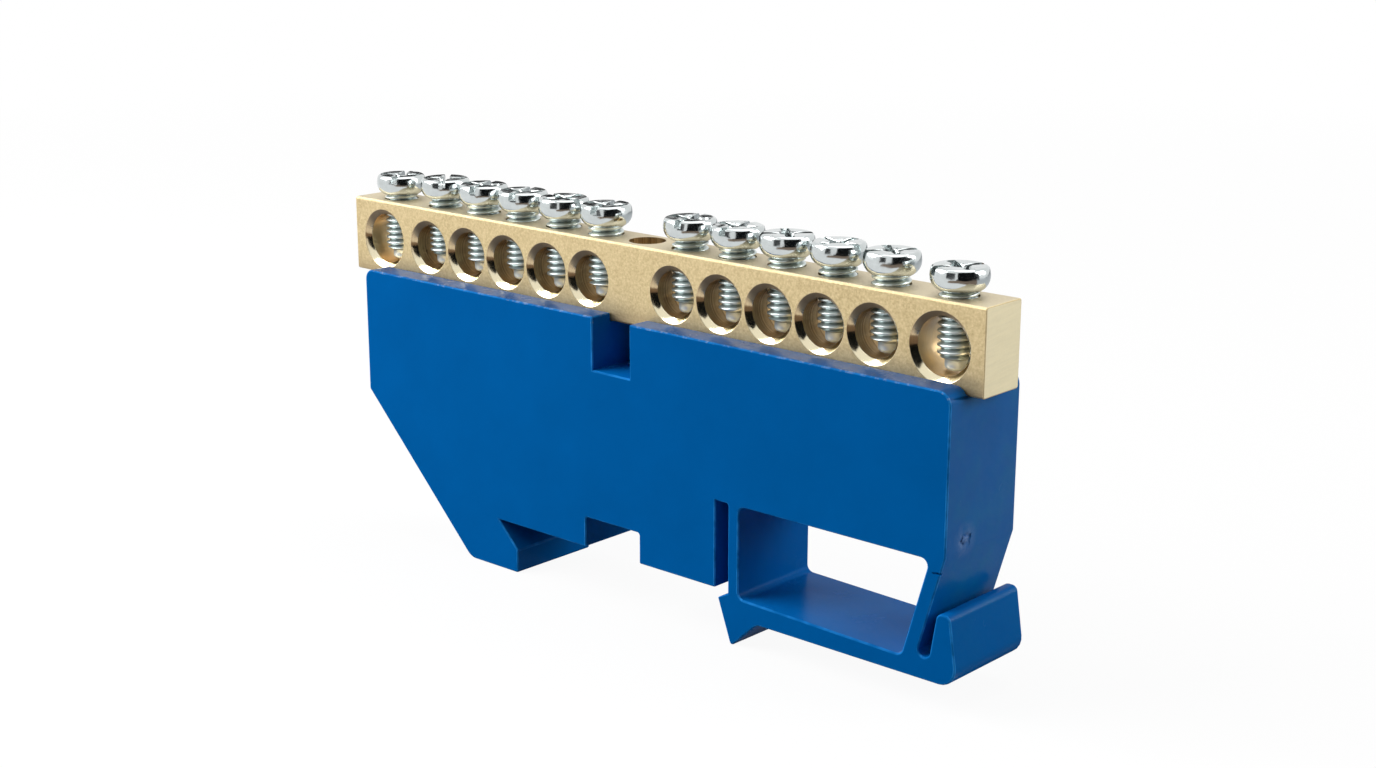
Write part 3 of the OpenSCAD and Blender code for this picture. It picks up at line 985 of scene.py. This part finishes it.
class BuildStage(bpy.types.Operator):
    """Sets the floor, the hidden cards, the lamps and the camera"""
    bl_idname = "neutral_bar.build_stage"
    bl_label = "Build stage"

    def execute(self, context):
        look = context.scene.neutral_bar.stage
        self.lay_floor(look)
        self.light_sky(context, look)
        for name, colour, span, heights in CARDS:
            self.stand_card(name, getattr(look, colour), span, heights)
        for name, colour, span, reaches in MATS:
            self.lay_mat(name, getattr(look, colour), span, reaches)
        for name, power, place, size in LAMPS:
            self.hang_lamp(name, getattr(look, power), place, size)
        self.aim_camera(context, look)
        context.scene.view_settings.view_transform = "Standard"
        return {"FINISHED"}

    @staticmethod
    def bare_tree(owner):
        """The emptied node tree of a material or a world."""
        owner.use_nodes = True
        owner.node_tree.nodes.clear()
        return owner.node_tree

    @staticmethod
    def mix_shaders(tree, share, first, second):
        """The shader between two others, by a share from a socket."""
        shares = {0: share, 1: first.outputs[0], 2: second.outputs[0]}
        return add_node(tree, "ShaderNodeMixShader", shares)

    @staticmethod
    def seen_as_background(tree):
        """One for what the camera, a reflection or a clear piece sees straight away."""
        path = add_node(tree, "ShaderNodeLightPath")
        total = path.outputs["Is Camera Ray"]
        for name in ("Is Glossy Ray", "Is Transmission Ray"):
            both = add_node(tree, "ShaderNodeMath", {0: total, 1: path.outputs[name]}, operation="MAXIMUM")
            total = both.outputs[0]
        return total

    def lay_floor(self, look):
        """A pale floor that shows white and keeps the shadow."""
        shape = bmesh.new()
        bmesh.ops.create_grid(shape, x_segments=8, y_segments=8, size=2.0)
        floor = mesh_object("floor", shape)
        material = bpy.data.materials.new("pale_floor")
        tree = self.bare_tree(material)
        bounce = add_node(tree, "ShaderNodeBsdfDiffuse", {"Color": (*look.floor_bounce, 1)})
        matte = add_node(tree, "ShaderNodeBsdfDiffuse", {"Color": (*look.floor_colour, 1)})
        glow = add_node(tree, "ShaderNodeEmission", {"Color": (1, 1, 1, 1)})
        place = add_node(tree, "ShaderNodeTexCoord").outputs["Object"]
        gap = add_node(tree, "ShaderNodeVectorMath", {0: place}, operation="LENGTH").outputs["Value"]
        share = add_node(tree, "ShaderNodeMapRange", {
            "Value": gap, "From Min": 0.2 * look.white_reach, "From Max": look.white_reach,
            "To Min": look.floor_glow, "To Max": 1.0})
        shown = self.mix_shaders(tree, share.outputs["Result"], matte, glow)
        surface = self.mix_shaders(tree, self.seen_as_background(tree), bounce, shown)
        add_node(tree, "ShaderNodeOutputMaterial", {"Surface": surface.outputs[0]})
        floor.data.materials.append(material)

    def hidden_sheet(self, name, colour, span, rim):
        """A matt sheet over a span, from the two points that rim gives for a sine and a cosine."""
        shape = bmesh.new()
        pairs = []
        for step in range(SHEET_STEPS + 1):
            turn = math.radians(span[0] + (span[1] - span[0]) * step / SHEET_STEPS)
            pairs.append([shape.verts.new(point) for point in rim(math.sin(turn), -math.cos(turn))])
        for (a, b), (c, d) in zip(pairs, pairs[1:]):
            shape.faces.new((a, c, d, b))
        sheet = mesh_object(name, shape)
        sheet.visible_camera = False
        sheet.visible_shadow = False
        material = bpy.data.materials.new(name)
        tree = self.bare_tree(material)
        matte = add_node(tree, "ShaderNodeBsdfDiffuse", {"Color": (*colour, 1)})
        add_node(tree, "ShaderNodeOutputMaterial", {"Surface": matte.outputs[0]})
        sheet.data.materials.append(material)
        return sheet

    def stand_card(self, name, colour, span, heights):
        """A curved card that stands on one side, seen by reflections and bounced light."""
        self.hidden_sheet(name, colour, span, lambda x, y: [
            (CARD_DISTANCE * x, CARD_DISTANCE * y, height) for height in heights])

    def lay_mat(self, name, colour, span, reaches):
        """A mat on part of the floor, between two distances, seen by reflections alone."""
        mat = self.hidden_sheet(name, colour, span, lambda x, y: [
            (reach * x, reach * y, MAT_HEIGHT) for reach in reaches])
        mat.visible_diffuse = False

    def light_sky(self, context, look):
        """Even soft light all round that shows as a white background."""
        sky = bpy.data.worlds.new("soft_light")
        context.scene.world = sky
        tree = self.bare_tree(sky)
        soft, white = (
            add_node(tree, "ShaderNodeBackground", {"Color": (1, 1, 1, 1), "Strength": strength})
            for strength in (look.sky_level, 1.0))
        blend = self.mix_shaders(tree, self.seen_as_background(tree), soft, white)
        add_node(tree, "ShaderNodeOutputWorld", {"Surface": blend.outputs[0]})

    @staticmethod
    def hang_lamp(name, power, place, size):
        """A square soft lamp that looks at the middle of the object."""
        lamp = bpy.data.lights.new(name, "AREA")
        lamp.shape = "SQUARE"
        lamp.size = size
        lamp.energy = power
        holder = add_object(name, lamp)
        holder.location = place
        aim = (CAD_LOW + CAD_HIGH) / 2 - holder.location
        holder.rotation_euler = aim.to_track_quat("-Z", "Y").to_euler()

    @staticmethod
    def aim_camera(context, look):
        """The camera at the photograph's place."""
        camera = bpy.data.cameras.new("camera")
        camera.sensor_width = 36
        camera.lens = look.lens
        camera.clip_start = 1 * MM
        holder = add_object("camera", camera)
        holder.location = look.camera_place
        holder.rotation_euler = look.camera_turn
        context.scene.camera = holder


class NeutralBarPanel(bpy.types.Panel):
    """Lists the steps that build the neutral bar"""
    bl_idname = "VIEW3D_PT_neutral_bar"
    bl_label = "Neutral bar"
    bl_space_type = "VIEW_3D"
    bl_region_type = "UI"
    bl_category = "Neutral bar"

    def draw(self, context):
        settings = context.scene.neutral_bar
        for operator in OPERATORS:
            self.layout.operator(operator.bl_idname)
        for group in (settings.insulator, settings.bar, settings.screws, settings.stage):
            box = self.layout.box()
            for key in group.bl_rna.properties.keys():
                if key not in ("rna_type", "name"):
                    box.prop(group, key)


OPERATORS = (BuildStage, BuildInsulator, BuildBar, BuildClampScrews, BuildFixingScrew)
CLASSES = (InsulatorLook, BarLook, ScrewLook, StageLook, NeutralBarSettings, *OPERATORS, NeutralBarPanel)


def register():
    """Registers the classes and hangs the settings on the scene."""
    for entry in CLASSES:
        bpy.utils.register_class(entry)
    bpy.types.Scene.neutral_bar = PointerProperty(type=NeutralBarSettings)


def unregister():
    """Takes the settings and the classes away again."""
    del bpy.types.Scene.neutral_bar
    for entry in reversed(CLASSES):
        bpy.utils.unregister_class(entry)


def main():
    """Builds every piece in order."""
    register()
    bpy.ops.neutral_bar.build_stage()
    bpy.ops.neutral_bar.build_insulator()
    bpy.ops.neutral_bar.build_bar()
    bpy.ops.neutral_bar.build_clamp_screws()
    bpy.ops.neutral_bar.build_fixing_screw()


if __name__ == "__main__":
    main()
